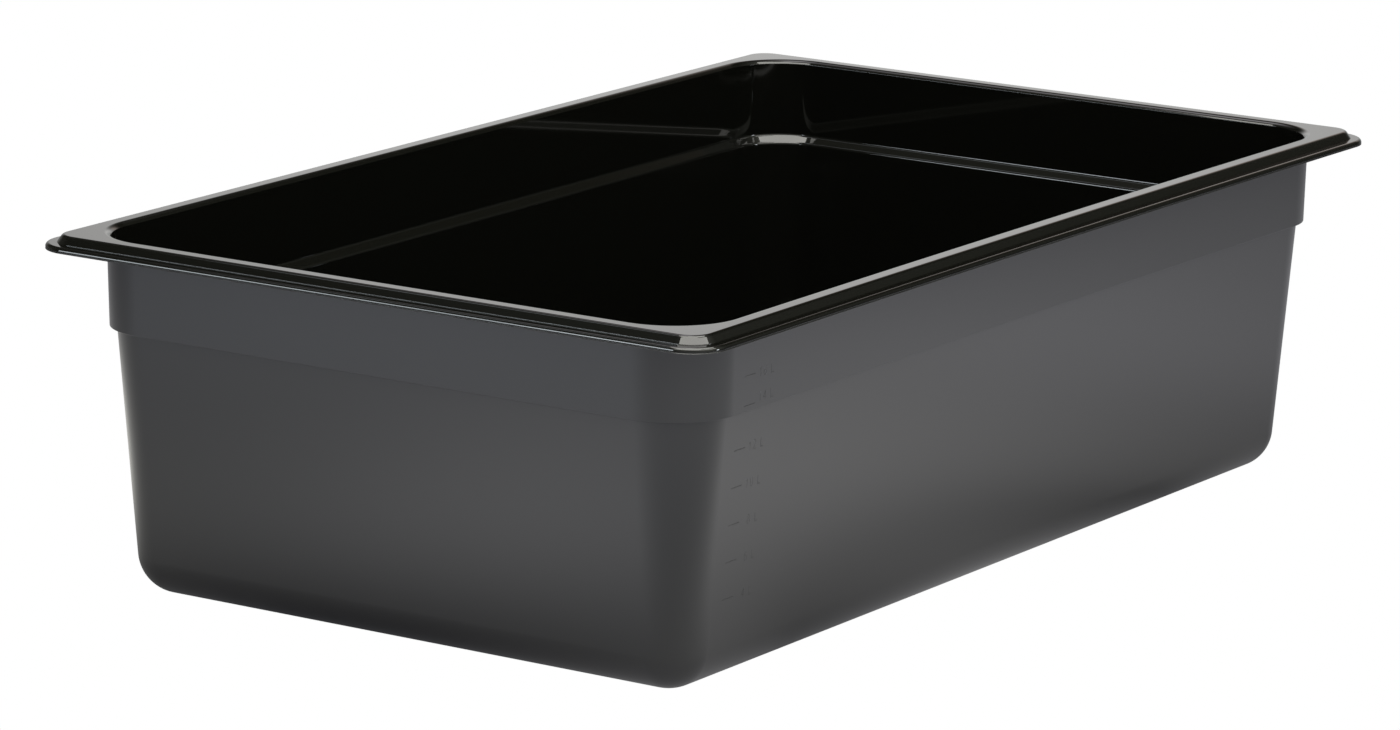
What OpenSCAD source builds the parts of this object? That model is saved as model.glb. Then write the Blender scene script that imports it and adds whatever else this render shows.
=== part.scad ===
// One-piece moulded food pan for a deli counter or prep table: full-size
// footprint, deep well, flat rim with a stepped flange, stacking shoulder and
// a scale of litres moulded on the outside. Millimetres, +Z up. The origin is
// the centre of the underside of the base. The long sides lie along X.

/* [Overall size] */
// Length over the rim
pan_l = 530; // [300:1:650]
// Width over the rim
pan_w = 325; // [200:1:400]
// Depth from the underside of the base to the top of the rim
pan_h = 150; // [120:1:200]

/* [Rim] */
// Plan radius of the flange's outer corners, which is also the centre all the rim's outer loops turn about
rim_corner_r = 16; // [15:0.5:17]
// Distance from the flange's edge in to where the flat top of the rim starts
top_in = 8; // [7.5:0.1:9]
// Radius of the roll at the outer edge of the flat top
roll_r = 2; // [1.5:0.1:2.2]
// Lean of the slope from the roll down to the flange, degrees off upright
bead_lean = 35; // [25:1:40]
// Drop from the flat top of the rim to the top of the flange
flange_drop = 3.3; // [3.3:0.1:4]
// Thickness of the flange at its edge
flange_t = 2.4; // [2:0.1:3]
// Radius on the upper edge of the flange
flange_edge_r = 1.65; // [0.4:0.05:1.65]
// Distance from the flange's edge in to where the flat top ends and rounds down towards the well
lip_in = 12.3; // [11:0.1:12.5]
// Radius of that round
lip_r = 3.6; // [3:0.1:3.8]

/* [Walls] */
// Thickness of the base and the lower wall
wall_t = 2.5; // [2.4:0.1:3]
// Thickness of the upper band at the rim, to which it thins evenly above the shoulder
top_t = 1.8; // [1.7:0.1:2.4]
// Distance from the flange's edge in to the centre that the corners of the walls turn about
corner_in = 43.3; // [42:0.1:50]
// Distance from the flange's edge in to the outside of the upper band, at the rim
upper_in = 13.4; // [13.2:0.1:14.5]
// Draft of the upper band, degrees
upper_draft = 1.4; // [1:0.1:2]
// Distance from the top of the rim down to the stacking shoulder
shoulder_drop = 38.4; // [30:0.1:50]
// Width of the step at the stacking shoulder
shoulder_w = 3; // [2.5:0.1:3.5]
// Draft of the lower wall, degrees
lower_draft = 4.7; // [3:0.1:5]
// Outside radius where the lower wall turns into the base
foot_r = 17.7; // [12:0.1:18]

/* [Scale of litres] */
// Volume at the lowest mark, litres
mark_first = 4; // [2:2:8]
// Volume at the highest mark, litres
mark_last = 16; // [10:2:18]
// Height of the lowest mark above the underside
mark_first_z = 35.8; // [30:0.1:40]
// Rise for each litre
mark_rise = 7.49; // [7:0.01:8]
// Height of the numerals
digit_h = 4; // [3:0.1:5]
// How far the marks stand proud of the wall
mark_proud = 0.1; // [0.1:0.05:0.4]

/* [Hidden] */
$fn = 64;

body_color = [0.16, 0.16, 0.17];

// Heights
shoulder_z = pan_h - shoulder_drop;
flange_top_z = pan_h - flange_drop;
flange_bot_z = flange_top_z - flange_t;
plate_bot_z = pan_h - wall_t;      // underside of the flat rim

// Distance in from the flange's edge to the outside of the walls at height z
function upper_outside(z) = upper_in + (pan_h - z) * tan(upper_draft);
function lower_outside(z) =
    upper_outside(shoulder_z) + shoulder_w + (shoulder_z - z) * tan(lower_draft);

// The same to the inside of the walls
function upper_inside(z) =
    upper_outside(z) + top_t + (wall_t - top_t) * (pan_h - z) / shoulder_drop;
function lower_inside(z) = lower_outside(z) + wall_t;

// Points on an arc, both ends included
function arc(centre, radius, start, end, steps) =
    [for (i = [0 : steps])
        let (angle = start + (end - start) * i / steps)
        centre + radius * [cos(angle), sin(angle)]];

// ---- Section of the walls ----
// In both sections x is measured outwards from the centre that the corners
// turn about, and y is the height.

// The ledge inside, opposite the stacking shoulder: a hollow radius at the
// foot of the upper wall, a slope, and a round-over into the lower wall
ledge_lean = 46.4;                 // slope of the ledge, degrees off upright
ledge_hollow_r = 1.9;
ledge_round_r = 2.1;
ledge_w = lower_inside(shoulder_z) - upper_inside(shoulder_z);
ledge_radii_w = (ledge_hollow_r + ledge_round_r) * (1 - cos(ledge_lean));
ledge_slope_l = max(0.05, (ledge_w - ledge_radii_w) / sin(ledge_lean));
ledge_low_z = shoulder_z - 0.1;    // height of the round-over's centre

// Directions square to the slope, into the well, and up along it
ledge_normal = [-cos(ledge_lean), sin(ledge_lean)];
ledge_up = [sin(ledge_lean), cos(ledge_lean)];
ledge_round_c = [corner_in - lower_inside(ledge_low_z) + ledge_round_r, ledge_low_z];
ledge_slope_top = ledge_round_c + ledge_round_r * ledge_normal + ledge_slope_l * ledge_up;
ledge_hollow_c = ledge_slope_top + ledge_hollow_r * ledge_normal;

// Foot radii, outside and inside, about centres at the same height
foot_inner_r = foot_r - wall_t;
foot_x = corner_in - lower_outside(foot_r) - foot_r / cos(lower_draft);
foot_inner_x = corner_in - lower_inside(foot_r) - foot_inner_r / cos(lower_draft);

// Inner edge of the rim: a round that stops in a plain edge where it meets the wall
lip_turn = 48;                     // degrees the round turns through
lip_edge_drop = 0.25;              // from the end of the round down to the wall
lip_wall_z = pan_h - lip_r * (1 - cos(lip_turn)) - lip_edge_drop;

// From the rim's top face down to the base below the corner centre
module wall_profile() {
    polygon(concat(
        [[0, 0]],
        arc([foot_x, foot_r], foot_r, -90, -lower_draft, 12),
        [[corner_in - lower_outside(shoulder_z), shoulder_z],
         [corner_in - upper_outside(shoulder_z), shoulder_z],
         [corner_in - upper_outside(plate_bot_z), plate_bot_z],
         [corner_in - upper_in, pan_h]],
        arc([corner_in - lip_in, pan_h - lip_r], lip_r, 90, 90 + lip_turn, 6),
        [[corner_in - upper_inside(lip_wall_z), lip_wall_z]],
        arc(ledge_hollow_c, ledge_hollow_r, 0, -ledge_lean, 6),
        arc(ledge_round_c, ledge_round_r, 180 - ledge_lean, 180 - lower_draft, 6),
        arc([foot_inner_x, foot_r], foot_inner_r, -lower_draft, -90, 12),
        [[0, wall_t]]
    ));
}

// ---- Section of the rim ----
rim_end_in = upper_in + 0.3;       // how far in the rim reaches, into the wall
skirt_in = top_in + 0.2;           // outer side of the hollow under the rim
flange_bevel = 0.3;                // on the lower edge of the flange
bead_step = 0.2;                   // small upright step between slope and flange
bead_foot_in = top_in - roll_r * tan((90 - bead_lean) / 2)
    - (flange_drop - bead_step) * tan(bead_lean);

// Rim outside the walls: shallow hollow underneath, flange with its rounded
// edge, small step, slope, roll and flat top
module rim_profile() {
    edge = rim_corner_r;
    polygon(concat(
        [[edge - rim_end_in, plate_bot_z],
         [edge - skirt_in, plate_bot_z],
         [edge - skirt_in, flange_bot_z],
         [edge - flange_bevel, flange_bot_z],
         [edge, flange_bot_z + flange_bevel]],
        arc([edge - flange_edge_r, flange_top_z - flange_edge_r], flange_edge_r, 0, 90, 8),
        [[edge - bead_foot_in, flange_top_z],
         [edge - bead_foot_in, flange_top_z + bead_step]],
        arc([edge - top_in, pan_h - roll_r], roll_r, bead_lean, 90, 6),
        [[edge - rim_end_in, pan_h]]
    ));
}

// ---- Well and rim ----

// Runs a section round a rounded rectangle whose corners turn about points
// centre_in from the flange's edges: each quarter is a corner and a straight side
module sweep_round(centre_in) {
    for (quarter = [0 : 3]) {
        size = (quarter % 2 == 0) ? [pan_l, pan_w] : [pan_w, pan_l];
        rotate(90 * quarter)
            translate([size[0] / 2 - centre_in, size[1] / 2 - centre_in, 0]) {
                rotate_extrude(angle = 90) children();
                rotate([90, 0, 0])
                    linear_extrude(height = size[1] - 2 * centre_in) children();
            }
    }
}

// Rounded rectangle, inset from the flange's edge, turning about the wall centres
module wall_loop(inset) {
    centre_x = pan_l / 2 - corner_in;
    centre_y = pan_w / 2 - corner_in;
    union() {
        square([2 * centre_x, pan_w - 2 * inset], center = true);
        square([pan_l - 2 * inset, 2 * centre_y], center = true);
        for (x = [-1, 1], y = [-1, 1])
            translate([x * centre_x, y * centre_y]) circle(r = corner_in - inset);
    }
}

// Walls and base in one skin
module well() {
    sweep_round(corner_in) wall_profile();
    translate([-(pan_l / 2 - corner_in), -(pan_w / 2 - corner_in), 0])
        cube([pan_l - 2 * corner_in, pan_w - 2 * corner_in, wall_t]);
}

// Flat rim with its stepped flange. The rim's outer corners are tighter than
// the well's, so a plate fills the wide corners between them.
plate_in = 11;                     // from the flange's edge in to the plate's edge
module rim() {
    sweep_round(rim_corner_r) rim_profile();
    translate([0, 0, plate_bot_z]) linear_extrude(height = wall_t) difference() {
        square([pan_l - 2 * plate_in, pan_w - 2 * plate_in], center = true);
        wall_loop(rim_end_in);
    }
}

// ---- Numerals ----
// Drawn with square strokes on a grid that is scaled to digit_h
grid_h = 4;
digit_w = 2.3;
stroke = 0.5;
ring_h = 2.3;                      // height of the small rings of 6 and 8
branch_y = 1;                      // foot of the crossbar of 4 and the stem of 6

module block(x, y, width, height) {
    translate([x, y]) square([width, height]);
}

// Bar across the whole numeral
module crossbar(y) {
    block(0, y, digit_w, stroke);
}

// Upright rectangular ring standing on y
module ring(y, height) {
    difference() {
        block(0, y, digit_w, height);
        block(stroke, y + stroke, digit_w - 2 * stroke, height - 2 * stroke);
    }
}

// Left-hand stem from branch_y to the top
module branch_stem() {
    block(0, branch_y, stroke, grid_h - branch_y);
}

// 1 and the even digits, all that the marks need
module numeral(digit) {
    if (digit == 0) ring(0, grid_h);
    if (digit == 1) block(digit_w / 2 - stroke / 2, 0, stroke, grid_h);
    if (digit == 2) {
        crossbar(grid_h - stroke);
        block(digit_w - stroke, grid_h / 2, stroke, grid_h / 2);
        crossbar(grid_h / 2 - stroke / 2);
        block(0, 0, stroke, grid_h / 2);
        crossbar(0);
    }
    if (digit == 4) {
        block(digit_w - 2 * stroke, 0, stroke, grid_h);
        crossbar(branch_y);
        branch_stem();
    }
    if (digit == 6) {
        ring(0, ring_h);
        branch_stem();
        crossbar(grid_h - stroke);
    }
    if (digit == 8) {
        ring(0, ring_h);
        ring(grid_h - ring_h, ring_h);
    }
}

// Letter L after each number
module unit_mark() {
    block(0, 0, stroke, grid_h);
    block(0, 0, digit_w - 0.3, stroke);
}

// ---- Scale of litres, on the outside of the long wall at -Y ----
mark_step = 2;                     // litres between marks
mark_x = 51;                       // from the -X end of the rim to the start of a tick
mark_sunk = 0.4;                   // how far the marks reach into the wall
tick_l = 7.3;
number_x = 9.8;                    // from the start of the tick to the number
digit_pitch = digit_w + 0.9;
unit_x = 8.4;                      // from the start of the number to the unit
shoulder_clear = 2.6;              // nearer the shoulder than this, a mark moves
shoulder_lift = 2.3;               // height of a moved mark above the shoulder
flange_clear = 8;                  // marks stop this far below the flange

// Height of the mark for a volume. The mark that would fall on the stacking
// shoulder stands just above it.
function even_mark_z(litres) = mark_first_z + (litres - mark_first) * mark_rise;
function mark_z(litres) =
    abs(even_mark_z(litres) - shoulder_z) < shoulder_clear
        ? shoulder_z + shoulder_lift
        : even_mark_z(litres);

// Tick, number and unit, laid on the sloping wall
module mark(litres) {
    z = mark_z(litres);
    on_upper = z > shoulder_z;
    draft = on_upper ? upper_draft : lower_draft;
    wall_in = on_upper ? upper_outside(z) : lower_outside(z);
    // Just above the shoulder the number is raised to stay clear of it
    raised = on_upper && z - shoulder_z < digit_h / 2 + 1;
    lift = raised ? digit_h / 2 : 0;
    translate([-pan_l / 2 + mark_x, -(pan_w / 2 - wall_in), z])
        rotate([90 + draft, 0, 0])
        translate([0, 0, -mark_sunk])
        linear_extrude(height = mark_sunk + mark_proud) {
            block(0, -stroke / 2, tick_l, stroke);
            translate([number_x, 0])
                scale(digit_h / grid_h)
                translate([0, lift - grid_h / 2]) {
                    if (litres >= 10) numeral(floor(litres / 10));
                    translate([digit_pitch, 0]) numeral(litres % 10);
                    translate([unit_x, 0]) unit_mark();
                }
        }
}

module litre_scale() {
    for (litres = [mark_first : mark_step : mark_last])
        if (mark_z(litres) < flange_bot_z - flange_clear) mark(litres);
}

module pan() {
    color(body_color) union() {
        well();
        rim();
        litre_scale();
    }
}

pan();
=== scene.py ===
"""One-piece black food pan: a dense, smooth skin with a raised scale of litres, in a pale studio.

The pan stands open side up, its long sides along X and its short sides along Y. It is modelled
in millimetres from the middle of its underside, with +Z up, and placed in metres. The camera
looks down on it from the -X -Y side. Bearings are in degrees: 0 is +X and 90 is +Y.
"""

import math

import bpy
import numpy as np
from mathutils import Matrix, Vector


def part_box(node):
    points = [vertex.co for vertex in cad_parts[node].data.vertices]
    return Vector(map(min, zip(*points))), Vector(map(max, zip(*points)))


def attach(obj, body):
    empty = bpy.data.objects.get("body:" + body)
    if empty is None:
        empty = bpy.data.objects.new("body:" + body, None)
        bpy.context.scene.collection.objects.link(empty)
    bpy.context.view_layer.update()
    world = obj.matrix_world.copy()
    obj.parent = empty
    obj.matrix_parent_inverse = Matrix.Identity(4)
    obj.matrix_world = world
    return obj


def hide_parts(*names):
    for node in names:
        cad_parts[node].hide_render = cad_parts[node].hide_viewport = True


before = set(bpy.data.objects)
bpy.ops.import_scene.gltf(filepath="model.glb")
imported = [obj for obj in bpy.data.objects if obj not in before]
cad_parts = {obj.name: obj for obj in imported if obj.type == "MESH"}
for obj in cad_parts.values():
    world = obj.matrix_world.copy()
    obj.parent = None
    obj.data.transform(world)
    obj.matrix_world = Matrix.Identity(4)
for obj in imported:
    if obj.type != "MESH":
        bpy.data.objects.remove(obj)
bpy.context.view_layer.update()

MM = 0.001
scene = bpy.context.scene

# ---------------------------------------------------------------- dimensions (mm)
pan_lo, pan_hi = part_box("pan")
PAN_L = round((pan_hi.x - pan_lo.x) / MM, 2)
PAN_W = round((pan_hi.y - pan_lo.y) / MM, 2)
PAN_H = round((pan_hi.z - pan_lo.z) / MM, 2)
BASE_MID = Vector(((pan_lo.x + pan_hi.x) / 2, (pan_lo.y + pan_hi.y) / 2, pan_lo.z))

# Insets are measured inwards from the flange's edge.
RIM_CENTRE = 16.0       # inset of the points the rim's outer corners turn about
WALL_CENTRE = 43.3      # inset of the points the walls' corners turn about
BASE_IN = 42.5          # edge of the single flat face that closes the base, inside and outside

WALL_T = 2.5            # base and lower wall
TOP_T = 1.8             # the upper wall thins to this at the rim
UPPER_IN = 13.4
UPPER_DRAFT = math.radians(1.4)
LOWER_DRAFT = math.radians(4.7)
SHOULDER_Z = PAN_H - 38.4
SHOULDER_W = 3.0
LEDGE_TOP_Z = SHOULDER_Z + 3.65     # the shoulder's sloping inner side
LEDGE_LOW_Z = SHOULDER_Z + 0.7
FOOT_R = 17.7

FLANGE_DROP = 3.3
FLANGE_T = 2.4
FLANGE_TOP = PAN_H - FLANGE_DROP
FLANGE_LOW = FLANGE_TOP - FLANGE_T
FLANGE_UNDER_IN = 8.2               # how far in the flange's flat underside runs
SPLIT_Z = FLANGE_LOW + 0.7          # where gloss meets satin on the flange's edge

# raised bead round the rim
BEAD_TOP_IN = 8.0
BEAD_R = 2.0
BEAD_LEAN = math.radians(35)        # lean of its outer face from upright
BEAD_STEP = 0.2                     # small upright step at its foot
BEAD_IN = BEAD_TOP_IN - BEAD_R * math.tan((math.pi / 2 - BEAD_LEAN) / 2)
BEAD_FOOT_IN = BEAD_IN - (FLANGE_DROP - BEAD_STEP) * math.tan(BEAD_LEAN)

# How far each long side (+Y, -Y) of the rim is drawn in at mid length by moulding shrinkage.
# The shift fades in with distance from the X axis.
BOW = {1: 0.3, -1: 2.0}
BOW_FADE_START, BOW_FADE_SPAN = 40, 60.0


def upper_out(z):
    return UPPER_IN + (PAN_H - z) * math.tan(UPPER_DRAFT)


def lower_out(z):
    return upper_out(SHOULDER_Z) + SHOULDER_W + (SHOULDER_Z - z) * math.tan(LOWER_DRAFT)


def upper_inner(z):
    return upper_out(z) + TOP_T + (WALL_T - TOP_T) * (PAN_H - z) / (PAN_H - SHOULDER_Z)


def lower_inner(z):
    return lower_out(z) + WALL_T


# lip between the rim's flat top and the inner wall
LIP_IN = 12.3                       # where the flat top ends and the lip's curve starts
LIP_R = 3.6
LIP_TURN = math.radians(48)
LIP_PEAK_IN = LIP_IN + LIP_R * math.tan(LIP_TURN / 2)
LIP_Z = PAN_H - (upper_inner(PAN_H - 1.2) - LIP_PEAK_IN) * math.tan(LIP_TURN)

# ---------------------------------------------------------------- section of the skin
GLOSS, SATIN = 0, 1     # material slots

# From the middle of the base inside, over the rim, and down to the base outside:
# inset, z, corner radius, inset of the plan's corner centres, finish, steps round the corner
SECTION = [
    (BASE_IN, WALL_T, 0.0, WALL_CENTRE, GLOSS, 0),
    (lower_inner(WALL_T), WALL_T, FOOT_R - WALL_T, WALL_CENTRE, GLOSS, 14),
    (lower_inner(LEDGE_LOW_Z), LEDGE_LOW_Z, 2.1, WALL_CENTRE, GLOSS, 10),
    (upper_inner(LEDGE_TOP_Z), LEDGE_TOP_Z, 1.9, WALL_CENTRE, GLOSS, 10),
    (upper_inner(LIP_Z), LIP_Z, 0.3, WALL_CENTRE, GLOSS, 6),
    (LIP_PEAK_IN, PAN_H, LIP_R, WALL_CENTRE, GLOSS, 16),
    (BEAD_IN, PAN_H, BEAD_R, RIM_CENTRE, GLOSS, 16),
    (BEAD_FOOT_IN, FLANGE_TOP + BEAD_STEP, 0.12, RIM_CENTRE, GLOSS, 4),
    (BEAD_FOOT_IN, FLANGE_TOP, 0.12, RIM_CENTRE, GLOSS, 4),
    (0.0, FLANGE_TOP, 1.65, RIM_CENTRE, GLOSS, 16),
    # shallow groove round the flange's edge
    (0.0, SPLIT_Z + 0.05, 0.05, RIM_CENTRE, GLOSS, 3),
    (0.08, SPLIT_Z - 0.05, 0.05, RIM_CENTRE, SATIN, 3),
    (0.30, FLANGE_LOW + 0.42, 0.04, RIM_CENTRE, SATIN, 3),
    (0.0, FLANGE_LOW + 0.10, 0.04, RIM_CENTRE, SATIN, 3),
    (0.0, FLANGE_LOW, 0.04, RIM_CENTRE, SATIN, 4),
    (FLANGE_UNDER_IN, FLANGE_LOW, 0.4, RIM_CENTRE, SATIN, 4),
    (FLANGE_UNDER_IN, PAN_H - WALL_T, 0.6, RIM_CENTRE, SATIN, 5),
    (upper_out(PAN_H - WALL_T), PAN_H - WALL_T, 1.2, WALL_CENTRE, SATIN, 6),
    (upper_out(SHOULDER_Z), SHOULDER_Z, 0.22, WALL_CENTRE, SATIN, 5),
    (lower_out(SHOULDER_Z), SHOULDER_Z, 0.45, WALL_CENTRE, SATIN, 5),
    (lower_out(0.0), 0.0, FOOT_R, WALL_CENTRE, SATIN, 18),
    (BASE_IN, 0.0, 0.0, WALL_CENTRE, SATIN, 0),
]

# steps round each corner of the plan, along each long side and along each short side
CORNER_STEPS, LONG_STEPS, SHORT_STEPS = 28, 28, 16


def unit(v):
    return v / np.linalg.norm(v)


def turned(v, angle):
    c, s = math.cos(angle), math.sin(angle)
    return np.array([v[0] * c - v[1] * s, v[0] * s + v[1] * c])


def round_section():
    """Round the section's corners.

    Gives rows of (inset, z, normal inwards, normal up, corner centre, finish of the strip that
    ends at the row).
    """
    points = [np.array(corner[:2]) for corner in SECTION]
    last = len(points) - 1
    rows = []
    for i, (_, _, radius, centre_in, finish, steps) in enumerate(SECTION):
        point = points[i]
        if i in (0, last):
            along = unit(points[1] - points[0] if i == 0 else points[-1] - points[-2])
            rows.append((point[0], point[1], along[1], -along[0], centre_in, finish))
            continue
        before = unit(point - points[i - 1])
        after = unit(points[i + 1] - point)
        turn = math.atan2(before[0] * after[1] - before[1] * after[0], float(before @ after))
        side = 1.0 if turn > 0 else -1.0
        to_centre = np.array([-before[1], before[0]]) * side
        start = point - before * (radius * math.tan(abs(turn) / 2))
        arc_centre = start + to_centre * radius
        for k in range(steps + 1):
            angle = turn * k / steps
            along = turned(before, angle)
            on_arc = arc_centre + turned(-to_centre, angle) * radius
            rows.append((on_arc[0], on_arc[1], along[1], -along[0], centre_in, finish))
    return rows


# ---------------------------------------------------------------- skin
def bow_at(side, x, z):
    """Inward shift of a long side (1 for +Y, -1 for -Y) at x, z, and its slopes along x and z."""
    half = PAN_L / 2
    along = max(0.0, 1 - (x / half) ** 2)
    height = max(0.0, z / PAN_H)
    bow = BOW[side]
    return bow * height * along, -bow * height * 2 * x / half ** 2, bow * along / PAN_H


def plan_outline(inset, centre_in):
    """Rounded rectangle seen from above, as rows of (x, y, outward normal x, y)."""
    radius = centre_in - inset
    cx, cy = PAN_L / 2 - centre_in, PAN_W / 2 - centre_in
    centres = [(cx, cy), (-cx, cy), (-cx, -cy), (cx, -cy)]
    outline = []
    for quarter, (x, y) in enumerate(centres):
        for k in range(CORNER_STEPS + 1):
            angle = math.radians(90 * quarter + 90 * k / CORNER_STEPS)
            c, s = math.cos(angle), math.sin(angle)
            outline.append((x + radius * c, y + radius * s, c, s))
        # straight side to the next corner, with the normal the corner ended on
        next_x, next_y = centres[(quarter + 1) % 4]
        start_x, start_y = x + radius * c, y + radius * s
        end_x, end_y = next_x + radius * c, next_y + radius * s
        steps = LONG_STEPS if quarter % 2 == 0 else SHORT_STEPS
        for k in range(1, steps):
            t = k / steps
            outline.append((start_x + (end_x - start_x) * t, start_y + (end_y - start_y) * t, c, s))
    return outline


def skin_loop(inset, z, normal_in, normal_up, centre_in):
    """Points and normals of one loop of the skin, with the long sides bowed in."""
    points, normals = [], []
    for x, y, out_x, out_y in plan_outline(inset, centre_in):
        side = 1 if y > 0 else -1
        fade = min(1.0, max(0.0, (abs(y) - BOW_FADE_START) / BOW_FADE_SPAN))
        bow, slope_x, slope_z = (value * fade for value in bow_at(side, x, z))
        points.append((x, y - side * bow, z))
        # the normal picks up the slopes of the bow
        n = Vector((-normal_in * out_x, -normal_in * out_y, normal_up))
        n = Vector((n.x + n.y * side * slope_x, n.y, n.z + n.y * side * slope_z))
        n.normalize()
        normals.append(tuple(n))
    return points, normals


def strip_faces(first, second, count):
    """Quads between two closed loops of count points that start at the given indices."""
    faces = []
    for k in range(count):
        k2 = (k + 1) % count
        faces.append((first + k, second + k, second + k2, first + k2))
    return faces


def placed(points):
    return [Vector(p) * MM + BASE_MID for p in points]


def build_skin():
    rows = round_section()
    verts, normals = [], []
    for row in rows:
        loop_points, loop_normals = skin_loop(*row[:5])
        verts += loop_points
        normals += loop_normals
    count = len(loop_points)
    faces, finishes = [], []
    for i in range(len(rows) - 1):
        faces += strip_faces(i * count, (i + 1) * count, count)
        finishes += [rows[i + 1][5]] * count
    # flat faces closing the base, inside and outside
    last = (len(rows) - 1) * count
    faces.append(tuple(range(count)))
    faces.append(tuple(last + k for k in reversed(range(count))))
    finishes += [GLOSS, SATIN]

    mesh = bpy.data.meshes.new("pan_skin")
    mesh.from_pydata(placed(verts), [], faces)
    mesh.polygons.foreach_set("material_index", finishes)
    mesh.polygons.foreach_set("use_smooth", [True] * len(faces))
    mesh.update()
    mesh.validate()
    mesh.normals_split_custom_set_from_vertices(normals)
    return mesh


# ---------------------------------------------------------------- scale of litres (mm)
MARK_X = 51.0                   # start of each mark from the pan's -X end
MARK_PROUD = 0.07
MARK_SUNK = 0.25                # how far the strokes reach into the wall
MARK_FIRST, MARK_LAST, MARK_STEP = 4, 16, 2     # litres
MARK_FIRST_Z = 35.8
MARK_RISE = 7.49                # height per litre
STROKE = 0.5
STROKE_BEVEL = 0.17             # how much narrower the crown is on each side
PROUD_STAGGER = 0.002           # keeps crossing strokes from lying in one plane
SHOULDER_CLEAR = 2.6            # a mark nearer the shoulder than this is moved above it
MARK_SHIFT, NUMERAL_LIFT = 2.3, 2.0
DASH = [(0, 0), (2.4, 0), (4.9, 0), (7.3, 0)]
TENS_X, UNITS_X, LETTER_X = 9.8, 13.0, 18.2
GLYPH_HALF_H = 2


def oval(cx, cy, rx, ry, start=90, end=450, steps=20):
    points = []
    for k in range(steps + 1):
        angle = math.radians(start + (end - start) * k / steps)
        points.append((cx + rx * math.cos(angle), cy + ry * math.sin(angle)))
    return points


LOWER_BOWL = (oval(1.15, 1.2, 0.88, 0.95)[:-1], True)

# strokes of each character in a cell 2.3 wide and 4 high: (points, closed)
GLYPHS = {
    "0": [(oval(1.15, 2.0, 0.85, 1.75)[:-1], True)],
    "1": [([(0.45, 3.15), (1.25, 3.75), (1.25, 0.25)], False)],
    "2": [(oval(1.12, 2.85, 0.85, 0.9, 165, -25, 12) + [(0.3, 0.25), (2.05, 0.25)], False)],
    "4": [([(2.1, 1.25), (0.25, 1.25), (1.6, 3.75), (1.6, 0.25)], False)],
    "6": [LOWER_BOWL,
          ([(1.85, 3.5), (1.3, 3.74), (0.75, 3.4), (0.38, 2.6), (0.27, 1.3)], False)],
    "8": [(oval(1.15, 2.98, 0.7, 0.78)[:-1], True), LOWER_BOWL],
    "L": [([(0.4, 3.75), (0.4, 0.25), (2.0, 0.25)], False)],
}


def on_wall(x, z, proud):
    """Point outside the -Y wall, at x from the pan's -X end."""
    pan_x = -PAN_L / 2 + x
    inset = upper_out(z) if z > SHOULDER_Z else lower_out(z)
    return (pan_x, -(PAN_W / 2 - inset) + bow_at(-1, pan_x, z)[0] - proud, z)


def add_stroke(verts, faces, path, closed, x0, z0, proud):
    """Add a bevelled ridge along a path of (x, z) points, mitred at the bends."""
    count = len(path)
    points = [np.array(p) for p in path]
    first = len(verts)
    for i, point in enumerate(points):
        before = unit(point - points[i - 1]) if closed or i > 0 else None
        after = unit(points[(i + 1) % count] - point) if closed or i < count - 1 else before
        if before is None:
            before = after
        middle = unit(before + after)
        across = np.array([-middle[1], middle[0]])
        mitre = 1.0 / max(0.6, float(across @ np.array([-before[1], before[0]])))
        base = across * (STROKE / 2) * mitre
        crown = across * (STROKE / 2 - STROKE_BEVEL) * mitre
        for offset, out in ((base, -MARK_SUNK), (base, 0.0), (crown, proud),
                            (-crown, proud), (-base, 0.0), (-base, -MARK_SUNK)):
            x, z = point + offset
            verts.append(on_wall(x0 + x, z0 + z, out))

    width = 6       # points across the ridge
    for i in range(count if closed else count - 1):
        a, b = first + i * width, first + ((i + 1) % count) * width
        for k in range(width):
            k2 = (k + 1) % width
            faces.append((a + k, a + k2, b + k2, b + k))
    if not closed:
        faces.append(tuple(first + k for k in reversed(range(width))))
        faces.append(tuple(first + (count - 1) * width + k for k in range(width)))


def build_marks():
    verts, faces = [], []
    strokes = 0
    for litres in range(MARK_FIRST, MARK_LAST + 1, MARK_STEP):
        z = MARK_FIRST_Z + (litres - MARK_FIRST) * MARK_RISE
        lift = 0.0
        if abs(z - SHOULDER_Z) < SHOULDER_CLEAR:
            z, lift = SHOULDER_Z + MARK_SHIFT, NUMERAL_LIFT
        add_stroke(verts, faces, DASH, False, MARK_X, z, MARK_PROUD)
        cells = [(str(litres // 10), TENS_X)] if litres >= 10 else []
        cells += [(str(litres % 10), UNITS_X), ("L", LETTER_X)]
        for character, x in cells:
            for path, closed in GLYPHS[character]:
                strokes += 1
                add_stroke(verts, faces, path, closed, MARK_X + x, z + lift - GLYPH_HALF_H,
                           MARK_PROUD + PROUD_STAGGER * (strokes % 3))
    mesh = bpy.data.meshes.new("litre_scale")
    mesh.from_pydata(placed(verts), [], faces)
    mesh.update()
    return mesh


# ---------------------------------------------------------------- materials
def empty_tree(owner):
    owner.use_nodes = True
    owner.node_tree.nodes.clear()
    return owner.node_tree


def new_material(name):
    material = bpy.data.materials.new(name)
    tree = empty_tree(material)
    return material, tree, tree.nodes.new("ShaderNodeOutputMaterial")


def plastic(name, colour, roughness):
    material, tree, output = new_material(name)
    shader = tree.nodes.new("ShaderNodeBsdfPrincipled")
    shader.inputs["Base Color"].default_value = (*colour, 1)
    shader.inputs["IOR"].default_value = 1.585      # polycarbonate
    shader.inputs["Roughness"].default_value = roughness
    tree.links.new(shader.outputs[0], output.inputs[0])
    return material


def painted_emission(tree):
    """Emission coloured by the mesh's "glow" attribute."""
    emission = tree.nodes.new("ShaderNodeEmission")
    paint = tree.nodes.new("ShaderNodeVertexColor")
    paint.layer_name = "glow"
    tree.links.new(paint.outputs[0], emission.inputs["Color"])
    return emission


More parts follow.
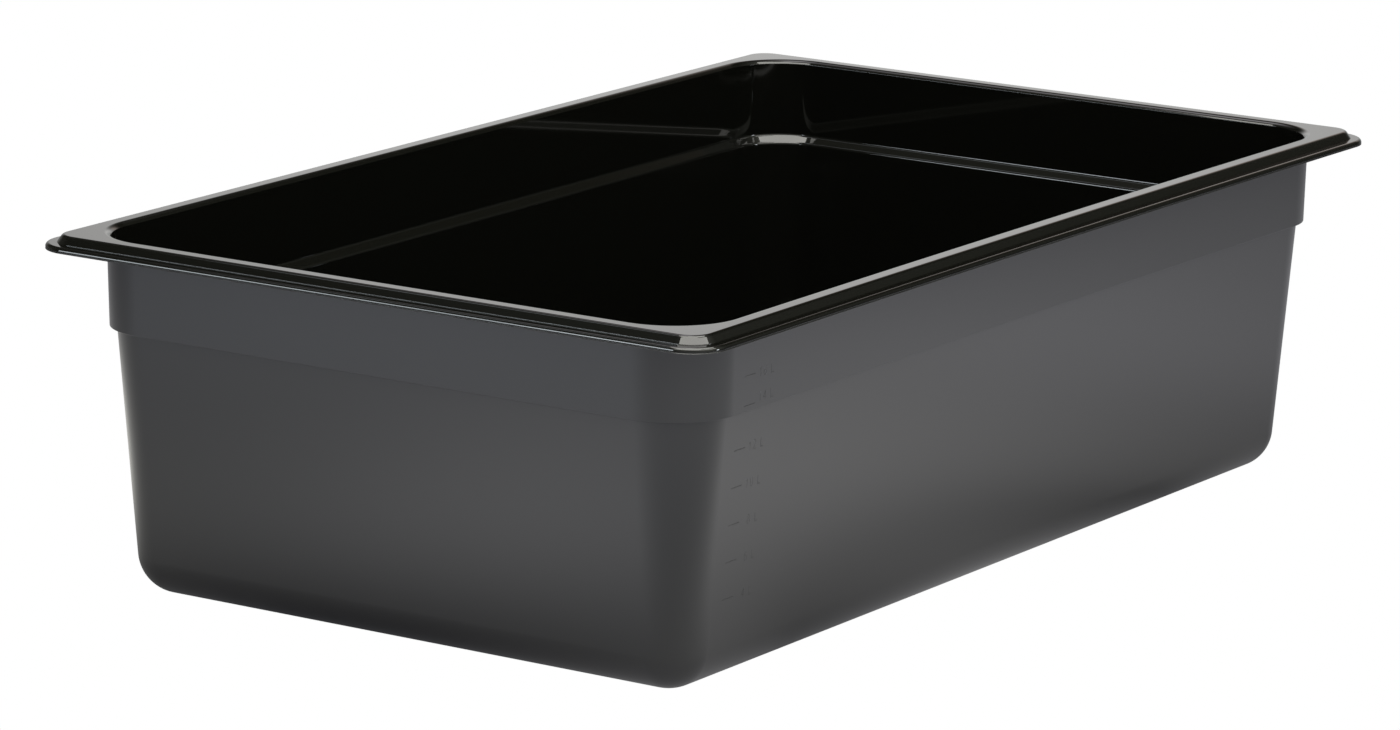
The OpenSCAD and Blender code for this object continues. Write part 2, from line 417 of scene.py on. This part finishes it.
def floor_material():
    """Plain white to the camera, and its painted glow to every other ray."""
    material, tree, output = new_material("floor_pale")
    glow_paint = painted_emission(tree)
    pale = tree.nodes.new("ShaderNodeEmission")
    pale.inputs["Color"].default_value = (1.0, 1.0, 1.0, 1)
    light_path = tree.nodes.new("ShaderNodeLightPath")
    mix = tree.nodes.new("ShaderNodeMixShader")
    tree.links.new(light_path.outputs["Is Camera Ray"], mix.inputs[0])
    tree.links.new(glow_paint.outputs[0], mix.inputs[1])
    tree.links.new(pale.outputs[0], mix.inputs[2])
    tree.links.new(mix.outputs[0], output.inputs[0])
    return material


def dome_material():
    material, tree, output = new_material("studio_glow")
    tree.links.new(painted_emission(tree).outputs[0], output.inputs[0])
    return material


def card_material(name, colour, strength):
    material, tree, output = new_material(name)
    emission = tree.nodes.new("ShaderNodeEmission")
    emission.inputs["Color"].default_value = (*colour, 1)
    emission.inputs["Strength"].default_value = strength
    tree.links.new(emission.outputs[0], output.inputs[0])
    return material


# ---------------------------------------------------------------- pan
def add_object(name, mesh, *materials):
    ob = bpy.data.objects.new(name, mesh)
    scene.collection.objects.link(ob)
    for material in materials:
        mesh.materials.append(material)
    return ob


gloss = plastic("black_polycarbonate_gloss", colour=(0.0088, 0.0090, 0.0076), roughness=0.04)
satin = plastic("black_polycarbonate_satin", colour=(0.042, 0.042, 0.043), roughness=0.30)

pan = add_object("pan_body", build_skin(), gloss, satin)
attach(pan, "root")
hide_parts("pan")

marks = add_object("litre_scale", build_marks(), satin)
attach(marks, "root")

# ---------------------------------------------------------------- stage (metres and degrees)
scene.view_settings.view_transform = "Standard"
scene.view_settings.look = "None"
scene.view_settings.exposure = 0.0
scene.view_settings.gamma = 1.0

DOME_R = 2.0
CARD_R = 1.9
DOME_Z = 0.1            # height of the dome's centre
FLOOR_GAP = 0.0001      # keeps the floor just under the pan
AROUND = 72             # steps round the floor and the dome
CARD_STEPS = 32

# radii of the floor's loops
FLOOR_RADII = [0.12, 0.16, 0.2, 0.24, 0.28, 0.32, 0.37, 0.43, 0.5, 0.6, 0.7, 0.85,
               1.0, 1.2, 1.4, 1.7, 3.0, 14.0]
# elevations of the dome's loops
DOME_ELEVATIONS = [-3, 0, 2.5, 5, 7.5, 10, 12.5, 15, 17.5, 20, 22.5, 25, 28, 31, 35,
                   40, 45, 50, 56, 62, 68, 75, 82]

# soft lights painted on the dome: bearing, elevation, spread of each, colour
SKY_LAMPS = [
    (33, 12.7, 27, 8.4, (1.14, 1.13, 1.12)),       # bright backdrop
    (11, 23, 15, 5.9, (0.92, 0.78, 0.70)),
    (46, 62, 19, 13, (2.80, 2.66, 2.80)),          # overhead, far side
    (341, 78, 100, 18, (0.95, 0.96, 0.82)),
    (227, 53, 62, 14, (0.71, 0.71, 0.62)),         # camera side
    (259, 28.6, 47, 17.4, (0.89, 0.91, 0.80)),
    (185, 19, 28, 9.3, (0.49, 0.50, 0.46)),
    (153, 35, 13, 8.4, (0.20, 0.22, 0.20)),
    (227, 3.1, 41, 7.2, (0.58, 0.58, 0.56)),
    (18, 0, 27, 6, (0.40, 0.46, 0.46)),
    (81, 4.2, 36, 8, (0.22, 0.22, 0.21)),
    (356, 0, 24, 6, (0.17, 0.17, 0.17)),
    (106, 20, 27, 25, (0.09, 0.09, 0.08)),
    (194, 74, 69, 15.5, (0.28, 0.28, 0.27)),
]
SKY_BASE = (0.020, 0.020, 0.012)
SKY_LIMITS = (0.0, 70.0)        # the glow is constant beyond these elevations

# pools of light painted on the floor: bearing, distance, spread in bearing and in log distance,
# colour
FLOOR_LAMPS = [
    (267, 0.28, 49, 0.31, (1.28, 1.27, 1.27)),
    (159, 0.80, 20, 0.25, (0.90, 0.95, 1.09)),
    (177, 0.39, 21, 0.25, (1.14, 1.13, 1.15)),
    (309, 0.45, 23, 0.25, (0.70, 0.70, 0.74)),
    (108, 0.36, 31, 0.31, (1.55, 1.53, 1.43)),
    (241, 0.74, 90, 0.54, (0.91, 0.92, 0.98)),
    (39, 0.54, 62, 0.63, (0.58, 0.57, 0.59)),
]
FLOOR_BASE = (0.038, 0.039, 0.046)
FLOOR_LIMITS = (0.2, 1.7)       # the glow is constant beyond these distances

# crisp lamp cards: name, bearing from, to, elevation from, to, colour, strength
CARDS = [
    ("strip_card", 138, 151.5, 5, 21, (0.92, 1.0, 1.05), 6.8),
    ("strip_end_card", 151.5, 168, 5, 21, (0.92, 1.0, 1.05), 9.0),
    ("strip_right_card", 279, 287, 4, 18, (0.95, 1.0, 1.05), 12.0),
    ("side_card", 113.5, 125, 48, 60, (0.95, 1.0, 1.04), 1.6),
    ("key_card", 160, 245, 42, 62, (1.0, 0.99, 0.93), 5.5),
    ("key_right_card", 245, 292, 42, 53, (1.0, 0.99, 0.93), 5.5),
    ("key_mid_card", 98, 350, 62, 82, (1.0, 0.99, 0.93), 5.5),
    ("key_top_card", 0, 360, 82, 90, (1.0, 0.99, 0.93), 5.5),
]


def glow(lamps, base, bearing, place):
    """Sum of the lamps' soft spots; place is the elevation or the log distance."""
    total = list(base)
    for lamp_bearing, lamp_place, bearing_spread, place_spread, colour in lamps:
        off_bearing = (bearing - lamp_bearing + 180) % 360 - 180
        weight = math.exp(-(off_bearing / bearing_spread) ** 2
                          - ((place - lamp_place) / place_spread) ** 2)
        for i in range(3):
            total[i] += weight * colour[i]
    return tuple(total)


def clamped(value, limits):
    return min(max(value, limits[0]), limits[1])


def sky_glow(bearing, elevation):
    return glow(SKY_LAMPS, SKY_BASE, bearing, clamped(elevation, SKY_LIMITS))


def floor_glow(bearing, distance):
    lamps = [(lamp[0], math.log(lamp[1]), *lamp[2:]) for lamp in FLOOR_LAMPS]
    return glow(lamps, FLOOR_BASE, bearing, math.log(clamped(distance, FLOOR_LIMITS)))


def dome_point(radius, bearing, elevation):
    """Point on a dome; the angles are in radians."""
    return (radius * math.cos(bearing) * math.cos(elevation),
            radius * math.sin(bearing) * math.cos(elevation),
            DOME_Z + radius * math.sin(elevation))


def add_staged(name, mesh, material, drop=0.0):
    ob = add_object(name, mesh, material)
    ob.location = (BASE_MID.x, BASE_MID.y, BASE_MID.z - drop)
    return ob


def hide_from(ob, *rays):
    for ray in rays:
        setattr(ob, "visible_" + ray, False)


def painted_mesh(name, points, faces, colours):
    mesh = bpy.data.meshes.new(name)
    mesh.from_pydata(points, [], faces)
    paint = mesh.color_attributes.new("glow", "FLOAT_COLOR", "POINT")
    rgba = np.array([list(colour) + [1.0] for colour in colours], np.float32)
    paint.data.foreach_set("color", rgba.ravel())
    mesh.polygons.foreach_set("use_smooth", [True] * len(faces))
    mesh.update()
    return mesh


def add_floor():
    points, colours = [(0, 0, 0)], [floor_glow(0, 0)]
    for radius in FLOOR_RADII:
        for k in range(AROUND):
            angle = 2 * math.pi * k / AROUND
            points.append((radius * math.cos(angle), radius * math.sin(angle), 0))
            colours.append(floor_glow(360.0 * k / AROUND, radius))
    faces = [(0, 1 + k, 1 + (k + 1) % AROUND) for k in range(AROUND)]
    for i in range(len(FLOOR_RADII) - 1):
        faces += strip_faces(1 + i * AROUND, 1 + (i + 1) * AROUND, AROUND)
    mesh = painted_mesh("floor", points, faces, colours)
    add_staged("floor", mesh, floor_material(), drop=FLOOR_GAP)


def add_dome():
    points, colours, faces = [], [], []
    for elevation in DOME_ELEVATIONS:
        for k in range(AROUND):
            angle = 2 * math.pi * k / AROUND
            points.append(dome_point(DOME_R, angle, math.radians(elevation)))
            colours.append(sky_glow(360.0 * k / AROUND, elevation))
    for i in range(len(DOME_ELEVATIONS) - 1):
        faces += strip_faces(i * AROUND, (i + 1) * AROUND, AROUND)
    top, apex = (len(DOME_ELEVATIONS) - 1) * AROUND, len(points)
    points.append((0, 0, DOME_Z + DOME_R))
    colours.append(sky_glow(0, 90))
    faces += [(top + k, apex, top + (k + 1) % AROUND) for k in range(AROUND)]
    mesh = painted_mesh("studio_dome", points, faces, colours)
    dome = add_staged("studio_dome", mesh, dome_material())
    hide_from(dome, "camera", "transmission", "volume_scatter", "shadow")


def add_card(name, bearing_0, bearing_1, elevation_0, elevation_1, colour, strength):
    """Curved card of light inside the dome, seen only in reflections."""
    points, faces = [], []
    for j in range(CARD_STEPS + 1):
        elevation = math.radians(elevation_0 + (elevation_1 - elevation_0) * j / CARD_STEPS)
        for i in range(CARD_STEPS + 1):
            bearing = math.radians(bearing_0 + (bearing_1 - bearing_0) * i / CARD_STEPS)
            points.append(dome_point(CARD_R, bearing, elevation))
    row = CARD_STEPS + 1
    for j in range(CARD_STEPS):
        for i in range(CARD_STEPS):
            k = j * row + i
            faces.append((k, k + row, k + row + 1, k + 1))
    mesh = bpy.data.meshes.new(name)
    mesh.from_pydata(points, [], faces)
    card = add_staged(name, mesh, card_material(name + "_light", colour, strength))
    hide_from(card, "camera", "diffuse", "transmission", "volume_scatter", "shadow")


def add_world():
    """Even white surroundings."""
    world = bpy.data.worlds.new("studio")
    scene.world = world
    tree = empty_tree(world)
    output = tree.nodes.new("ShaderNodeOutputWorld")
    background = tree.nodes.new("ShaderNodeBackground")
    background.inputs["Color"].default_value = (1, 1, 1, 1)
    background.inputs["Strength"].default_value = 1.08
    tree.links.new(background.outputs[0], output.inputs[0])


add_floor()
add_dome()
for card_spec in CARDS:
    add_card(*card_spec)
add_world()

# ---------------------------------------------------------------- camera
CAMERA_AT = Vector((-2265.4373, -1491.4450, 697.3499)) * MM     # from the middle of the base
YAW = math.radians(33.6288)         # bearing of the view
PITCH = math.radians(13.0249)       # downward tilt
ROLL = math.radians(0.7332)
LENS, SENSOR_W = 169.557686, 36.0   # mm


def add_camera():
    data = bpy.data.cameras.new("camera")
    camera = add_object("camera", data)
    scene.camera = camera
    forward = Vector((math.cos(YAW) * math.cos(PITCH), math.sin(YAW) * math.cos(PITCH),
                      -math.sin(PITCH)))
    level_right = Vector((math.sin(YAW), -math.cos(YAW), 0))
    level_up = level_right.cross(forward)
    right = level_right * math.cos(ROLL) + level_up * math.sin(ROLL)
    up = -level_right * math.sin(ROLL) + level_up * math.cos(ROLL)
    rotation = Matrix((right, up, -forward)).transposed()
    camera.matrix_world = Matrix.Translation(CAMERA_AT + BASE_MID) @ rotation.to_4x4()
    data.sensor_fit = "HORIZONTAL"
    data.sensor_width = SENSOR_W
    data.lens = LENS
    data.clip_start = 0.05
    data.clip_end = 100


add_camera()
